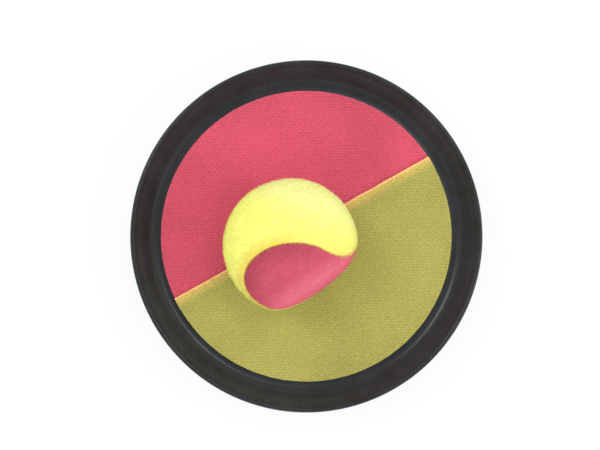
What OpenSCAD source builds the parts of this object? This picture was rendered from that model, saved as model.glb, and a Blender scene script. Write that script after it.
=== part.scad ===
// Catch paddle: a shallow dish faced with hook fabric, a hand strap on its back and a felt ball.
// Z points up out of the catching face, the lap between the two fabrics runs along X,
// and the paddle lies on the flat palm of its strap at Z = 0.

/* [Dish] */
// Outer diameter over the bead of the rim
rim_d = 170; // [150:1:200]
// Height of the rim above the front of the floor
rim_h = 8.5; // [7:0.5:12]
// Slope of the flared rim, in degrees from flat
rim_slope = 46; // [40:1:60]
// Radius of the bead that ends the rim
bead_r = 1.3; // [1.2:0.1:2]
// Thickness of the moulded plastic
wall_t = 2; // [1.6:0.1:2.4]
// Radius of the bend between floor and rim, at mid thickness
rim_bend_r = 8; // [4:0.5:9]
// How far the stiffening ring on the back lies inside the edge of the catch face
ring_inset = 1.5; // [1:0.1:6]
// Width of the stiffening ring
ring_w = 2; // [1.5:0.1:3]
// Height of the stiffening ring
ring_h = 1.5; // [1:0.1:2.5]
// Diameter of the shallow moulding dimple in the middle of the back
dimple_d = 14; // [8:1:20]
// Depth of the moulding dimple
dimple_h = 0.4; // [0.2:0.1:0.8]

/* [Catch face] */
// Width of bare floor from the hook fabric to the corner of the rim
face_margin = 4.3; // [3:0.1:10]
// Thickness of a hook sheet with its hooks
sheet_t = 1.2; // [0.8:0.1:2]
// Thickness of the adhesive under the sheets
glue_t = 0.2; // [0.1:0.05:0.4]
// Width by which the yellow sheet laps over the red one
lap_w = 4.4; // [2:0.1:8]
// Length of the slope where the yellow sheet climbs onto the lap
lap_run = 2.5; // [2:0.1:5]

/* [Strap bridges] */
// Distance of a strap bar from the outer edge of the rim
bar_inset = 27; // [26:0.5:30]
// Diameter of a strap bar
bar_d = 4; // [3.5:0.1:4.5]
// Plastic around the bar in the lugs that carry it
lug_wall = 2; // [1.5:0.1:2.5]
// Thickness of a lug along the bar
lug_t = 3.5; // [2.5:0.1:5]
// Length of the window over a bar
window_l = 12; // [11:0.5:13]

/* [Hand strap] */
// Width of the webbing
strap_w = 25; // [20:1:30]
// Thickness of the webbing
strap_t = 1.4; // [1:0.1:1.6]
// Clear height for the hand between the strap and the back of the floor
hand_gap = 20.6; // [16:0.2:28]
// Level reach of the strap's slope, from the palm's corner to the bar
ramp_run = 32; // [30:0.5:36]
// Radius of the bends at the ends of the palm
palm_bend_r = 12; // [8:1:14]
// Length of the sewn tail at the fixed end
tail_l = 19; // [14:1:20]
// Length of the free flap beyond its bend
flap_l = 21; // [18:1:22]
// Distance from a bar to where a tail lies flat on the strap
lead_l = 9; // [8:0.5:10]
// Width of the fastening patches
patch_w = 21; // [16:1:22]
// Thickness of the loop patch on the strap
loop_t = 0.9; // [0.6:0.1:1]
// Thickness of the hook patch on the flap
hook_t = 0.8; // [0.6:0.1:1]
// Length of plain webbing left at the tip of the flap
grip_l = 4.5; // [3:0.5:6]

/* [Ball] */
// Diameter of the ball
ball_d = 60; // [50:1:65]
// Thickness of the felt
felt_t = 2.6; // [2:0.1:4]
// Thickness of the hollow rubber core
core_t = 2.8; // [2:0.1:4]
// How far a felt lobe reaches past the ball's middle, in degrees
lobe_reach = 60; // [50:1:65]
// Place of the ball along the lap
ball_x = -8; // [-20:0.5:20]
// Place of the ball across the lap
ball_y = -1; // [-10:0.5:10]
// How far the soft ball is pressed in on its pink side
press_d = 6; // [2:0.5:8]
// Radius of the flattened face that the press leaves
press_r = 70; // [50:5:120]
// Direction of the pressed side around Z
press_az = -86; // [-180:1:180]
// Direction of the pressed side above level
press_el = 5; // [0:1:40]
// Turn of the ball about X
ball_rx = -127; // [-180:1:180]
// Turn of the ball about Y
ball_ry = 140; // [-180:1:180]
// Turn of the ball about Z
ball_rz = 30; // [-180:1:180]

/* [Fits] */
// Clearance between pieces that move on each other
run_gap = 0.3; // [0.3:0.05:0.5]
// Clearance between pieces that are held together
seat_gap = 0.05; // [0.02:0.01:0.1]
// Clearance beside the webbing between the lugs
edge_gap = 0.7; // [0.5:0.1:1.5]

/* [Hidden] */
$fn = 96;
arc_steps = 12;
merge = 0.5;
far = 100;

floor_back = strap_t + hand_gap;
floor_front = floor_back + wall_t;
rim_end = [rim_d / 2 - bead_r, floor_front + rim_h - bead_r];
floor_mid = floor_back + wall_t / 2;
rim_foot = [rim_end.x - (rim_end.y - floor_mid) / tan(rim_slope), floor_mid];

face_r = rim_foot.x - face_margin;
ring_r = face_r - ring_inset;
sheet_z = floor_front + glue_t;
lap_z = sheet_z + sheet_t;
lap_top = lap_z + sheet_t;

bar_x = rim_d / 2 - bar_inset;
wrap_r = bar_d / 2 + seat_gap + strap_t / 2;
bar_z = floor_front - run_gap - strap_t / 2 - wrap_r;
bar = [bar_x, bar_z];
lug_r = bar_d / 2 + lug_wall;
strap_room = strap_w + 2 * edge_gap;

palm_mid = [0, strap_t / 2];
palm_end = [bar_x - ramp_run, strap_t / 2];
ramp_a = tangent(palm_end, bar, wrap_r, 1);
ramp_l = sqrt(pow(norm(bar - palm_end), 2) - wrap_r * wrap_r);

tail_off = strap_t + seat_gap;
tail_foot = on_ramp(ramp_l - lead_l, tail_off);
tail_tip = on_ramp(ramp_l - lead_l - tail_l, tail_off);
tail_a = tangent(tail_foot, bar, wrap_r, -1);

root_r = strap_t / 2 + 0.1;
free_r = bar_d / 2 + run_gap + root_r;
root_a = -asin((root_r + run_gap) / free_r);
root = along(bar, root_a, free_r);
flap_off = strap_t + loop_t + run_gap + hook_t;
flap_foot = on_ramp(ramp_l - lead_l, flap_off);
flap_tip = on_ramp(ramp_l - lead_l - flap_l, flap_off);
flap_a = tangent(flap_foot, bar, free_r, -1);
patch_top = ramp_l - lead_l - 2.5;
patch_end = ramp_l - lead_l - flap_l + grip_l;

ball_r = ball_d / 2;
ball_at = [ball_x, ball_y, lap_top + run_gap + ball_r];
lobe_lean = atan((sqrt(0.5) - cos(lobe_reach)) / sin(lobe_reach));
lobe_half = acos(sqrt(0.5) * cos(lobe_lean)) + 0.4;
lobe_from = ball_r / 3;

// Directions and points in a flat drawing
function aim(p, q) = atan2(q.y - p.y, q.x - p.x);
function along(p, a, d) = p + d * [cos(a), sin(a)];
function wrapped(a) = a - 360 * floor((a + 180) / 360);
function flipped(line) = [for (i = [len(line) - 1:-1:0]) [-line[i].x, line[i].y]];
function tangent(p, c, r, side) = aim(p, c) + side * asin(r / norm(c - p));

// A point s up the strap's slope and o outside its middle
function on_ramp(s, o) = along(along(palm_end, ramp_a, s), ramp_a - 90, o);

function arc(c, r, a, b) = [for (i = [0:arc_steps]) along(c, a + (b - a) * i / arc_steps, r)];

// The rounded corner at b on the way from a to c
function corner(a, b, c, r) =
    let (u = aim(b, a))
    let (open = wrapped(aim(b, c) - u))
    let (middle = along(b, u + open / 2, r / sin(abs(open) / 2)))
    let (start = aim(middle, along(b, u, r / tan(abs(open) / 2))))
    arc(middle, r, start, start - sign(open) * (180 - abs(open)));

// The outline of a strip of thickness t along a line
function heading(line, i) = aim(line[max(i - 1, 0)], line[min(i + 1, len(line) - 1)]);
function edge(line, d) = [for (i = [0:len(line) - 1]) along(line[i], heading(line, i) + 90, d)];
function back_edge(line, d) = [for (i = [len(line) - 1:-1:0]) along(line[i], heading(line, i) + 90, d)];
function strip(line, t) = concat(edge(line, t / 2), back_edge(line, -t / 2));

rim_line = concat(
    [[0, floor_mid]],
    corner([0, floor_mid], rim_foot, rim_end, rim_bend_r),
    [rim_end]
);
tail_line = concat(
    corner(palm_mid, palm_end, along(palm_end, ramp_a, ramp_l), palm_bend_r),
    arc(bar, wrap_r, ramp_a + 90, tail_a - 90),
    corner(along(tail_foot, tail_a, lead_l), tail_foot, tail_tip, palm_bend_r),
    [tail_tip]
);
wrap_line = concat(
    corner(palm_mid, palm_end, along(palm_end, ramp_a, ramp_l), palm_bend_r),
    arc(bar, wrap_r, ramp_a + 90, 0)
);
band_line = concat(flipped(tail_line), wrap_line);
flap_line = concat(
    arc(bar, free_r, root_a, flap_a - 90),
    corner(along(flap_foot, flap_a, lead_l), flap_foot, flap_tip, palm_bend_r),
    [flap_tip]
);
lap_line = concat(
    [[-face_r - 1, sheet_z + sheet_t / 2]],
    corner([-face_r, sheet_z + sheet_t / 2], [-lap_run - 0.5, sheet_z + sheet_t / 2],
        [-0.5, lap_z + sheet_t / 2], 1.5),
    corner([-lap_run - 0.5, sheet_z + sheet_t / 2], [-0.5, lap_z + sheet_t / 2],
        [lap_w, lap_z + sheet_t / 2], 1.5),
    [[lap_w, lap_z + sheet_t / 2]]
);

// A drawing in X and Z made as wide as w along Y
module across(w) {
    rotate([90, 0, 0]) linear_extrude(height = w, center = true) children();
}

module lug(side, end) {
    y = end * (strap_room / 2 + lug_t / 2);
    translate([side * bar_x, y, 0]) across(lug_t) intersection() {
        union() {
            translate([0, bar_z]) circle(r = lug_r);
            translate([-lug_r, bar_z]) square([2 * lug_r, lug_r]);
        }
        translate([-lug_r, bar_z - lug_r]) square([2 * lug_r, floor_mid - bar_z + lug_r]);
    }
}

module dish() {
    color("#1c1d20") {
        difference() {
            union() {
                rotate_extrude() {
                    polygon(strip(rim_line, wall_t));
                    translate(rim_end) circle(r = bead_r);
                }
                rotate_extrude() translate([ring_r - ring_w / 2, floor_back - ring_h])
                    square([ring_w, ring_h + merge]);
                for (side = [-1, 1]) for (end = [-1, 1]) lug(side, end);
            }
            for (side = [-1, 1]) translate([side * bar_x, 0, floor_mid])
                cube([window_l, strap_room, 4 * wall_t], center = true);
            translate([0, 0, floor_back - 1]) cylinder(d = dimple_d, h = 1 + dimple_h);
        }
        for (side = [-1, 1]) translate([side * bar_x, 0, bar_z])
            rotate([90, 0, 0]) cylinder(d = bar_d, h = strap_room + lug_t, center = true);
    }
}

module face_adhesive() {
    color("#d8d4c4") translate([0, 0, floor_front]) cylinder(r = face_r, h = glue_t);
}

module hook_sheet_red() {
    color("#d8485f") intersection() {
        translate([0, 0, sheet_z]) cylinder(r = face_r, h = sheet_t);
        translate([-far, 0, 0]) cube([2 * far, far, far]);
    }
}

module hook_sheet_yellow() {
    color("#b3ad4e") intersection() {
        translate([0, 0, sheet_z - 1]) cylinder(r = face_r, h = 4 * sheet_t);
        rotate([90, 0, 90]) linear_extrude(height = 2 * far, center = true)
            polygon(strip(lap_line, sheet_t));
    }
}

module strap_band() {
    color("#26272b") across(strap_w) polygon(strip(band_line, strap_t));
}

module strap_loop_patch() {
    color("#18181a") across(patch_w) polygon([
        on_ramp(patch_end, strap_t / 2), on_ramp(patch_top, strap_t / 2),
        on_ramp(patch_top, strap_t / 2 + loop_t), on_ramp(patch_end, strap_t / 2 + loop_t)
    ]);
}

module strap_flap() {
    color("#26272b") {
        across(strap_w) polygon(strip(flap_line, strap_t));
        across(strap_w) translate(root) circle(r = root_r);
    }
}

module strap_hook_patch() {
    inner = flap_off - strap_t / 2;
    color("#18181a") across(patch_w) polygon([
        on_ramp(patch_end, inner - hook_t), on_ramp(patch_top, inner - hook_t),
        on_ramp(patch_top, inner), on_ramp(patch_end, inner)
    ]);
}

// The ball's form, set in evenly by inset: a sphere with one flattened side
module ball_form(inset) {
    rotate([0, 90 - press_el, press_az]) rotate_extrude() intersection() {
        circle(r = ball_r - inset);
        translate([0, ball_r - press_d - press_r]) circle(r = press_r - inset);
        translate([0, -far]) square([far, 2 * far]);
    }
}

// Turns a panel's seams into place on the ball
module in_seams(turn) {
    rotate([ball_rx, ball_ry, ball_rz]) rotate(a = turn, v = [1, 1, 0]) children();
}

// A cone from the ball's middle round a lobe over +X, tipped down by lean
module lobe_cone(side, lean) {
    rotate([0, 0, side]) rotate([0, 90 + lean, 0]) translate([0, 0, lobe_from])
        cylinder(r1 = lobe_from * tan(lobe_half), r2 = (lobe_from + ball_d) * tan(lobe_half), h = ball_d);
}

// What is cut away below a panel's waist, but for its own lobes
module below_waist() {
    difference() {
        translate([-ball_d, -ball_d, -ball_d]) cube([2 * ball_d, 2 * ball_d, ball_d]);
        for (side = [0, 180]) lobe_cone(side, lobe_lean);
    }
}

// What is cut away beside a panel's waist, for a lobe of the other panel
module beside_waist(side) {
    intersection() {
        lobe_cone(side, -lobe_lean);
        translate([-ball_d, -ball_d, 0]) cube([2 * ball_d, 2 * ball_d, ball_d]);
    }
}

// One of the two equal dog-bone panels, turned by half a turn to fit into the other
module felt_panel(turn) {
    translate(ball_at) difference() {
        ball_form(0);
        ball_form(felt_t);
        in_seams(turn) below_waist();
        in_seams(turn) beside_waist(90);
        in_seams(turn) beside_waist(270);
    }
}

module ball_core() {
    color("#8a8a86") translate(ball_at) difference() {
        ball_form(felt_t + seat_gap);
        ball_form(felt_t + seat_gap + core_t);
    }
}

module ball_felt_yellow() {
    color("#f2ee58") felt_panel(0);
}

module ball_felt_pink() {
    color("#d65a78") felt_panel(180);
}

dish();
face_adhesive();
hook_sheet_red();
hook_sheet_yellow();
strap_band();
strap_loop_patch();
strap_flap();
strap_hook_patch();
ball_core();
ball_felt_yellow();
ball_felt_pink();
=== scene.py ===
import math

import bmesh
import bpy
import numpy as np
from mathutils import Matrix, Vector, noise


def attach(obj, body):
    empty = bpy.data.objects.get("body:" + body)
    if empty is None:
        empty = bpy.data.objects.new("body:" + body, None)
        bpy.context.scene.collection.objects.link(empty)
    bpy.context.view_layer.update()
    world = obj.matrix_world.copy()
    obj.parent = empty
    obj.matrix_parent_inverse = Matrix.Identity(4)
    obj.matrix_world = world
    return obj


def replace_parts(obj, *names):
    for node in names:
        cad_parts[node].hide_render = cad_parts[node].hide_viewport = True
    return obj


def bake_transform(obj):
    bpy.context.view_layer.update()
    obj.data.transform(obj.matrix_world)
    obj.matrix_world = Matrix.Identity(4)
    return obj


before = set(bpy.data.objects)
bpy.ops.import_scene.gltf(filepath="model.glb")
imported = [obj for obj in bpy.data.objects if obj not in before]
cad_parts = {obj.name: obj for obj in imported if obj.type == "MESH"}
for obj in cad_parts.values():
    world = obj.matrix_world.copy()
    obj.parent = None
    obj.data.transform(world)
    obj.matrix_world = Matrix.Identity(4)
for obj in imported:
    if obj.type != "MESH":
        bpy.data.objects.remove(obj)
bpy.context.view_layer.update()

mm = 0.001
scene = bpy.context.scene
scene.view_settings.view_transform = "Standard"
print("frame loaded,", len(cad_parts), "nodes")


# camera, straight down on the catch face and rolled so that the lap climbs to the right

shot = {
    "at": (1.17, -3.89, 374.3),
    "back": (0.0032, -0.028, 0.9996),
    "up": (0.4883, 0.8724, 0.0229),
    "lens": 42.65, "sensor": 36.0,
}


def addToScene(obj):
    scene.collection.objects.link(obj)
    return obj


def aimCamera():
    back = Vector(shot["back"]).normalized()
    right = Vector(shot["up"]).cross(back).normalized()
    turn = Matrix((right, back.cross(right), back)).transposed().to_4x4()
    lens = bpy.data.cameras.new("topShot")
    lens.lens, lens.sensor_width, lens.clip_start = shot["lens"], shot["sensor"], 0.01
    camera = addToScene(bpy.data.objects.new("topShot", lens))
    camera.matrix_world = Matrix.Translation(Vector(shot["at"]) * mm) @ turn
    scene.camera = camera


aimCamera()
print("camera set")


# small tools for node trees

def put(tree, kind, sockets=None, **props):
    node = tree.nodes.new(kind)
    node.location = (210 * (len(tree.nodes) % 9), -280 * (len(tree.nodes) // 9))
    for key, value in props.items():
        setattr(node, key, value)
    for key, value in (sockets or {}).items():
        if isinstance(value, bpy.types.NodeSocket):
            tree.links.new(value, node.inputs[key])
        else:
            node.inputs[key].default_value = value
    return node


def calc(tree, operation, a, b=0.0, c=0.0):
    return put(tree, "ShaderNodeMath", {0: a, 1: b, 2: c}, operation=operation).outputs[0]


def moved(tree, operation, a, b):
    return put(tree, "ShaderNodeVectorMath", {0: a, 1: b}, operation=operation).outputs[0]


def scaled(tree, a, size):
    return put(tree, "ShaderNodeVectorMath", {0: a, "Scale": size}, operation="SCALE").outputs[0]


def joined(tree, x=0.0, y=0.0, z=0.0):
    return put(tree, "ShaderNodeCombineXYZ", {"X": x, "Y": y, "Z": z}).outputs[0]


def axisOf(tree, vector, axis):
    return put(tree, "ShaderNodeSeparateXYZ", {0: vector}).outputs[axis]


def remap(tree, value, low, high, first=0.0, last=1.0):
    sockets = {"Value": value, "From Min": low, "From Max": high, "To Min": first, "To Max": last}
    return put(tree, "ShaderNodeMapRange", sockets, interpolation_type="SMOOTHSTEP").outputs["Result"]


def mixed(tree, factor, a, b):
    return put(tree, "ShaderNodeMix", {0: factor, 6: a, 7: b}, data_type="RGBA").outputs[2]


def objectPlace(tree):
    return put(tree, "ShaderNodeTexCoord").outputs["Object"]


def cloudy(tree, place, scale, detail):
    sockets = {"Vector": place, "Scale": scale, "Detail": detail}
    return put(tree, "ShaderNodeTexNoise", sockets).outputs["Fac"]


def emboss(tree, shader, height, strength, distance):
    sockets = {"Height": height, "Strength": strength, "Distance": distance}
    tree.links.new(put(tree, "ShaderNodeBump", sockets).outputs[0], shader["Normal"])


def paint(tree, shader, tone, shade):
    tree.links.new(scaled(tree, tone, shade), shader["Base Color"])


def newGroup(name, kind, inputs, outputs):
    tree = bpy.data.node_groups.new(name, kind)
    for key, value in inputs.items():
        if isinstance(value, str):
            tree.interface.new_socket(key, in_out="INPUT", socket_type="NodeSocket" + value)
            continue
        shape = "NodeSocketInt" if isinstance(value, int) else "NodeSocketFloat"
        tree.interface.new_socket(key, in_out="INPUT", socket_type=shape).default_value = value
    for key, value in outputs.items():
        tree.interface.new_socket(key, in_out="OUTPUT", socket_type="NodeSocket" + value)
    return tree, put(tree, "NodeGroupInput").outputs, put(tree, "NodeGroupOutput").inputs


def fillGroup(tree, group, sockets):
    return put(tree, "ShaderNodeGroup", sockets, node_tree=group).outputs


def newFinish(name, sockets):
    finish = bpy.data.materials.new(name)
    finish.use_nodes = True
    tree = finish.node_tree
    shader = next(n for n in tree.nodes if n.type == "BSDF_PRINCIPLED")
    for key, value in sockets.items():
        shader.inputs[key].default_value = value
    return finish, tree, shader.inputs


# small tools for meshes

def settle(obj):
    bpy.context.view_layer.update()
    graph = bpy.context.evaluated_depsgraph_get()
    result = bpy.data.meshes.new_from_object(obj.evaluated_get(graph), depsgraph=graph)
    obj.modifiers.clear()
    obj.data = result
    result.name = obj.name
    return obj


def runNodes(obj, tree, values):
    step = obj.modifiers.new(tree.name, "NODES")
    step.node_group = tree
    for item in tree.interface.items_tree:
        if item.item_type == "SOCKET" and item.in_out == "INPUT" and item.name in values:
            step[item.identifier] = values[item.name]
    return settle(obj)


def inMetres(points):
    return [tuple(c * mm for c in p) for p in points]


def smoothAll(obj):
    obj.data.polygons.foreach_set("use_smooth", [True] * len(obj.data.polygons))


def meshPiece(name, points, faces, finish, edges=()):
    data = bpy.data.meshes.new(name)
    data.from_pydata(inMetres(points), list(edges), [tuple(f) for f in faces])
    if finish:
        data.materials.append(finish)
    piece = addToScene(bpy.data.objects.new(name, data))
    smoothAll(piece)
    data.update()
    return piece


def sharpen(obj, degrees):
    work = bmesh.new()
    work.from_mesh(obj.data)
    for edge in work.edges:
        edge.smooth = len(edge.link_faces) == 2 and edge.calc_face_angle(0) < math.radians(degrees)
    work.to_mesh(obj.data)
    work.free()


def report(piece):
    print(piece.name, len(piece.data.polygons), "faces")


def spread(name, source, tree, values, body):
    piece = addToScene(bpy.data.objects.new(name, source.data.copy()))
    runNodes(piece, tree, values)
    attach(piece, body)
    report(piece)
    return piece


def strew(tree, given, out, points, shape, turn, size):  # one shape on many points, made real
    sockets = {"Points": points, "Instance": shape, "Rotation": turn, "Scale": size}
    many = put(tree, "GeometryNodeInstanceOnPoints", sockets).outputs[0]
    real = put(tree, "GeometryNodeRealizeInstances", {"Geometry": many}).outputs[0]
    smooth = put(tree, "GeometryNodeSetShadeSmooth", {"Geometry": real}).outputs[0]
    sockets = {"Geometry": smooth, "Material": given["Finish"]}
    done = put(tree, "GeometryNodeSetMaterial", sockets).outputs[0]
    tree.links.new(done, out["Geometry"])


def wireAlong(tree, stops, steps, sides, radius, capped):
    sockets = dict(zip(("Start", "Start Handle", "End Handle", "End"), stops))
    line = put(tree, "GeometryNodeCurvePrimitiveBezierSegment", {"Resolution": steps, **sockets}).outputs[0]
    ring = put(tree, "GeometryNodeCurvePrimitiveCircle", {"Resolution": sides, "Radius": radius}).outputs[0]
    sockets = {"Curve": line, "Profile Curve": ring, "Fill Caps": capped}
    return put(tree, "GeometryNodeCurveToMesh", sockets).outputs[0]


def anyVector(tree, low, high, seed):
    sockets = {0: low, 1: high, "Seed": seed}
    return put(tree, "FunctionNodeRandomValue", sockets, data_type="FLOAT_VECTOR").outputs[0]


def anyNumber(tree, low, high, seed):
    sockets = {2: low, 3: high, "Seed": seed}
    return put(tree, "FunctionNodeRandomValue", sockets, data_type="FLOAT").outputs[1]


def asRotation(tree, angles):
    return put(tree, "FunctionNodeEulerToRotation", {0: angles}).outputs[0]


# flat drawing, shared by the dish's section and the strap's path

def aim(p, q):
    return math.atan2(q[1] - p[1], q[0] - p[0])


def along(p, angle, far):
    return (p[0] + far * math.cos(angle), p[1] + far * math.sin(angle))


def arc(middle, radius, start, end, steps):
    return [along(middle, start + (end - start) * i / steps, radius) for i in range(steps + 1)]


def corner(a, b, c, radius, steps):
    first = aim(b, a)
    gap = (aim(b, c) - first + math.pi) % (2 * math.pi) - math.pi
    middle = along(b, first + gap / 2, radius / math.sin(abs(gap) / 2))
    start = aim(middle, along(b, first, radius / math.tan(abs(gap) / 2)))
    return arc(middle, radius, start, start - math.copysign(math.pi - abs(gap), gap), steps)


def rounded(points, steps):
    line = []
    for i, (x, z, radius) in enumerate(points):
        if radius:
            line += corner(points[i - 1][:2], (x, z), points[i + 1][:2], radius, steps)
        else:
            line.append((x, z))
    return line


def slab(outline, near, far):  # an outline in XZ drawn out along Y
    n = len(outline)
    points = [(x, y, z) for y in (near, far) for x, z in outline]
    faces = [(i, n + i, n + (i + 1) % n, (i + 1) % n) for i in range(n)]
    return points, faces + [range(n), range(2 * n - 1, n - 1, -1)]


# shader groups that several finishes share

def makeFleck():
    tree, given, out = newGroup("fleck", "ShaderNodeTree",
                                {"Scale": 400.0, "Detail": 4.0, "Low": 0.85, "High": 1.12},
                                {"Shade": "Float", "Cloud": "Float"})
    place = objectPlace(tree)
    fine = cloudy(tree, place, given["Scale"], given["Detail"])
    wide = cloudy(tree, place, 28.0, 2.0)
    both = calc(tree, "MULTIPLY_ADD", fine, 0.65, calc(tree, "MULTIPLY", wide, 0.35))
    shade = put(tree, "ShaderNodeMapRange", {"Value": both, "From Min": 0.3, "From Max": 0.7,
                                             "To Min": given["Low"], "To Max": given["High"]})
    tree.links.new(shade.outputs["Result"], out["Shade"])
    tree.links.new(wide, out["Cloud"])
    return tree


def makeWeave():
    tree, given, out = newGroup("weave", "ShaderNodeTree",
                                {"Place": "Vector", "Rib": 0.0016, "Pick": 0.0011},
                                {"Height": "Float", "Thread": "Float", "Spot": "Float"})
    across = calc(tree, "DIVIDE", axisOf(tree, given["Place"], "X"), given["Rib"])
    down = calc(tree, "DIVIDE", axisOf(tree, given["Place"], "Y"), given["Pick"])
    lean = calc(tree, "ABSOLUTE", calc(tree, "SUBTRACT", calc(tree, "FRACT", across), 0.5))
    slant = calc(tree, "MULTIPLY_ADD", lean, 1.4, down)  # threads lean in a herringbone
    pick = calc(tree, "ABSOLUTE", calc(tree, "SINE", calc(tree, "MULTIPLY", slant, math.pi)))
    rib = calc(tree, "ABSOLUTE", calc(tree, "SINE", calc(tree, "MULTIPLY", across, 2 * math.pi)))
    tall = calc(tree, "MULTIPLY", calc(tree, "POWER", rib, 0.5), calc(tree, "POWER", pick, 0.6))
    columns, rows = (calc(tree, "COSINE", calc(tree, "MULTIPLY", v, math.pi)) for v in (across, down))
    tree.links.new(tall, out["Height"])
    # Thread darkens the colour where the weave lies low: painted shade in its hollows
    tree.links.new(calc(tree, "MULTIPLY_ADD", tall, 0.65, 0.35), out["Thread"])
    tree.links.new(calc(tree, "MULTIPLY", columns, rows), out["Spot"])  # 1 at a hook, -1 between two
    return tree


def makeScuff():
    tree, given, out = newGroup("scuff", "ShaderNodeTree",
                                {"Edge": 0.0, "Scale": 240.0},
                                {"Worn": "Float", "Scratch": "Float"})
    place = objectPlace(tree)
    blot = cloudy(tree, place, given["Scale"], 6.0)
    worn = calc(tree, "MULTIPLY", given["Edge"], calc(tree, "ADD", blot, 0.25))
    sockets = {"Vector": place, "Scale": 60.0, "Detail": 1.0}
    swirl = put(tree, "ShaderNodeTexNoise", sockets).outputs["Color"]
    bent = mixed(tree, 0.12, place, swirl)
    drawn = put(tree, "ShaderNodeMapping", {"Vector": bent, "Scale": (30.0, 900.0, 260.0),
                                            "Rotation": (0, 0, 0.7)}).outputs[0]
    tree.links.new(remap(tree, worn, 0.42, 0.8), out["Worn"])
    tree.links.new(remap(tree, cloudy(tree, drawn, 2.0, 3.0), 0.62, 0.72), out["Scratch"])
    return tree


fleck, weave, scuff = makeFleck(), makeWeave(), makeScuff()


def plainFinish(name, tone, low, high, scale, sockets):  # one colour with a fleck and a fine nap
    finish, tree, shader = newFinish(name, sockets)
    marks = fillGroup(tree, fleck, {"Scale": scale, "Low": low, "High": high})
    paint(tree, shader, tone, marks["Shade"])
    emboss(tree, shader, cloudy(tree, objectPlace(tree), 2 * scale, 3.0), 0.5, 0.0002)
    return finish


def dressNode(node, finish):
    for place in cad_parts[node].material_slots:
        place.material = finish


# dish

dish = {
    "rimR": 85.0, "rimH": 8.5, "slope": 46.0, "beadR": 1.3, "wall": 2.0, "bend": 8.0, "bow": 0.28,
    "back": 22.0, "ringR": 69.98, "ringW": 2.0, "ringH": 1.5, "dimpleR": 7.0, "dimpleH": 0.4,
    "barX": 58.0, "barZ": 20.25, "barR": 2.0, "barSink": 1.0, "lugR": 4.0, "lugT": 3.5, "lugEdge": 0.45,
    "room": 26.4, "window": 12.0, "cutZ": (15.0, 30.0), "turns": 192, "barTurns": 40, "lugTurns": 24,
    "dimpleEdge": (0.15, 0.2), "ringEdge": 0.4, "ringFoot": 0.5, "lipGap": 0.12, "lipEase": 0.25,
    "floorR": 40.0, "backSteps": 8, "lipSteps": 26, "floorSteps": 12, "wallSteps": 8,
    "lipWear": {"out": 0.9, "up": 0.5, "wide": 1.5}, "footWear": {"top": 21.0, "deep": 4.5, "within": 75.0},
    "black": (0.0255, 0.0285, 0.0322), "worn": (0.05, 0.05, 0.055),
}


def makeDishFinish():
    finish, tree, shader = newFinish("glossBlackPlastic", {"Specular IOR Level": 0.32})
    edge = put(tree, "ShaderNodeAttribute", attribute_name="wear").outputs["Fac"]
    marks = fillGroup(tree, scuff, {"Edge": edge, "Scale": 300.0})
    cloud = fillGroup(tree, fleck, {"Scale": 90.0, "Low": 0.75, "High": 1.3})
    ground = scaled(tree, dish["black"], cloud["Shade"])
    faded = calc(tree, "MULTIPLY", marks["Worn"], 0.5)
    tree.links.new(mixed(tree, faded, ground, (*dish["worn"], 1.0)), shader["Base Color"])
    rough = calc(tree, "MULTIPLY_ADD", cloud["Cloud"], 0.1, 0.22)
    rough = calc(tree, "MULTIPLY_ADD", marks["Scratch"], 0.1, rough)
    tree.links.new(calc(tree, "MULTIPLY_ADD", marks["Worn"], 0.2, rough), shader["Roughness"])
    ripple = cloudy(tree, objectPlace(tree), 55.0, 1.0)
    height = calc(tree, "MULTIPLY_ADD", marks["Scratch"], -0.02, ripple)
    emboss(tree, shader, height, 0.12, 0.0006)
    return finish


def dishSection():
    d = dish
    slope, half = math.radians(d["slope"]), d["wall"] / 2
    front, middle = d["back"] + d["wall"], d["back"] + half
    bead = (d["rimR"] - d["beadR"], front + d["rimH"] - d["beadR"])
    foot = bead[0] - (bead[1] - middle) / math.tan(slope)
    offset = half * math.tan(slope / 2)
    sunk = along(bead, slope + math.pi, math.sqrt(d["beadR"] ** 2 - half ** 2))  # where wall meets bead
    under, over = along(sunk, slope - math.pi / 2, half), along(sunk, slope + math.pi / 2, half)
    inner, outer = d["ringR"] - d["ringW"] / 2, d["ringR"] + d["ringW"] / 2
    low, dip = d["back"] - d["ringH"], d["back"] + d["dimpleH"]
    softIn, softOut = d["dimpleEdge"]
    back = rounded([
        (0, dip, 0), (d["dimpleR"], dip, softIn), (d["dimpleR"], d["back"], softOut),
        (inner, d["back"], d["ringFoot"]), (inner, low, d["ringEdge"]),
        (outer, low, d["ringEdge"]), (outer, d["back"], d["ringFoot"]),
        (foot + offset, d["back"], d["bend"] + half), (*under, 0)], d["backSteps"])
    first, last = aim(bead, under), aim(bead, over)
    if last < first:
        last += 2 * math.pi
    lip = arc(bead, d["beadR"], first + d["lipGap"], last - d["lipGap"], d["lipSteps"])
    floor = rounded([(*over, 0), (foot - offset, front, d["bend"] - half),
                     (d["floorR"], front, 0), (0, front, 0)], d["floorSteps"])
    wall = []
    for i in range(1, d["wallSteps"]):  # the wall swells a little towards the catch face
        t = i / d["wallSteps"]
        flat = along(over, aim(over, floor[1]), math.dist(over, floor[1]) * t)
        wall.append(along(flat, slope + math.pi / 2, 4 * d["bow"] * t * (1 - t)))
    return back[:-1] + [along(under, slope + math.pi, d["lipEase"])] + lip + wall + floor[1:], bead


def latheDish(finish):
    line, bead = dishSection()
    turns = dish["turns"]
    points, rings, faces = [], [], []
    for r, z in line:
        count = turns if r > 1e-6 else 1  # a single point on the axis
        rings.append(range(len(points), len(points) + count))
        points += [(*along((0, 0), 2 * math.pi * i / turns, r), z) for i in range(count)]
    for a, b in zip(rings, rings[1:]):
        for i in range(turns):
            j = (i + 1) % turns
            quad = a[i % len(a)], a[j % len(a)], b[j % len(b)], b[i % len(b)]
            faces.append(list(dict.fromkeys(quad)))
    return meshPiece("dishShell", points, faces, finish), bead


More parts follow.
